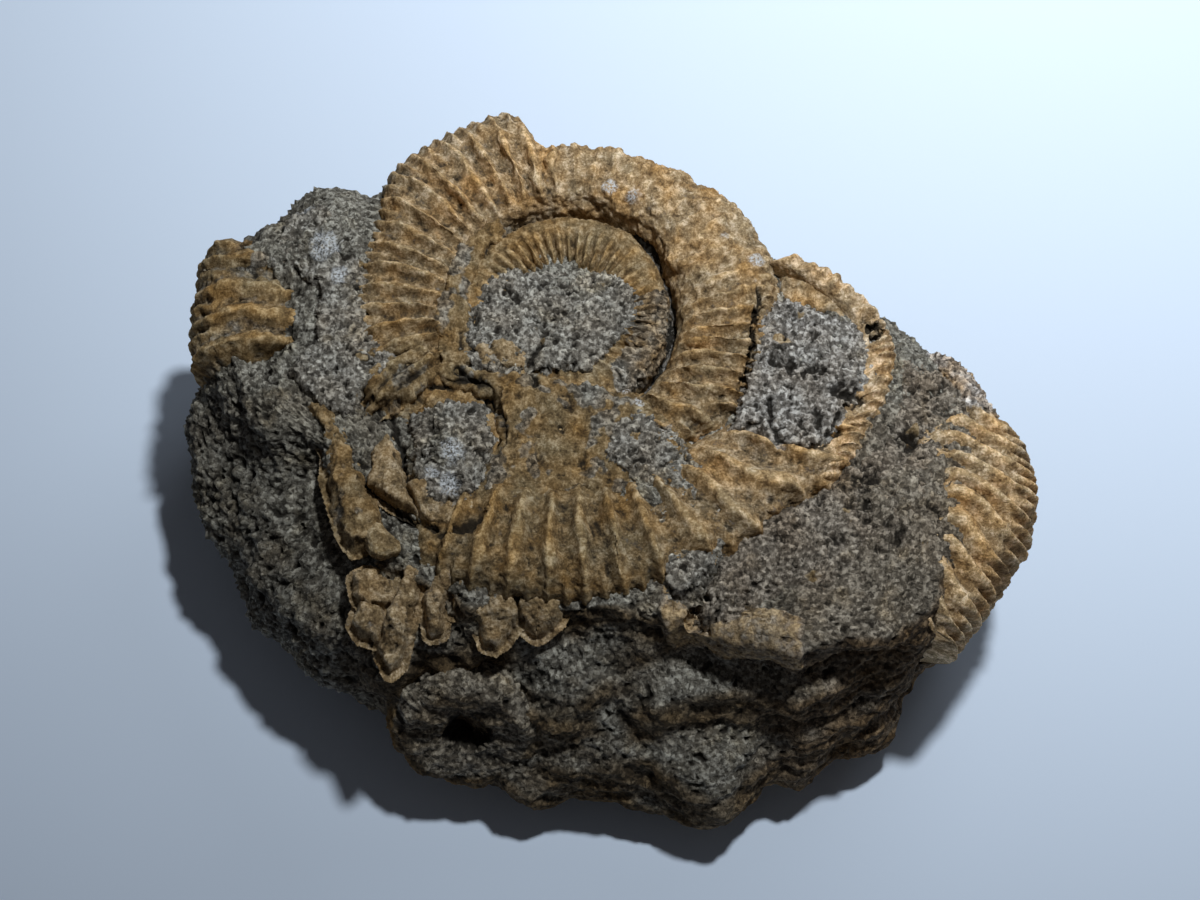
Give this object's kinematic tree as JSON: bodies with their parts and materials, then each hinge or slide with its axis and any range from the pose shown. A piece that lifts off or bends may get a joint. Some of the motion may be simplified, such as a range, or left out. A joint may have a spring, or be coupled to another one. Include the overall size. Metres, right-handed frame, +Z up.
{
  "type": "ammonite fossil in its stone",
  "caption": "Loose block of fossil limestone with a large evolute ammonite on its upper face, ribbed whorl stretches at both ends and a flat break below to rest on.",
  "frame": {"origin": "centre of the block's box, on the flat break that it rests on", "axes": "+Z up through the face with the ammonite, +X along the block to its right end, -Y to its front wall"},
  "size_m": [0.1366, 0.1124, 0.047],
  "materials": {
    "limestone": "dry granular limestone, ochre worn shell ribs and grey matrix"
  },
  "bodies": {
    "root": {"ammonite_block": "limestone"}
  },
  "joints": []
}
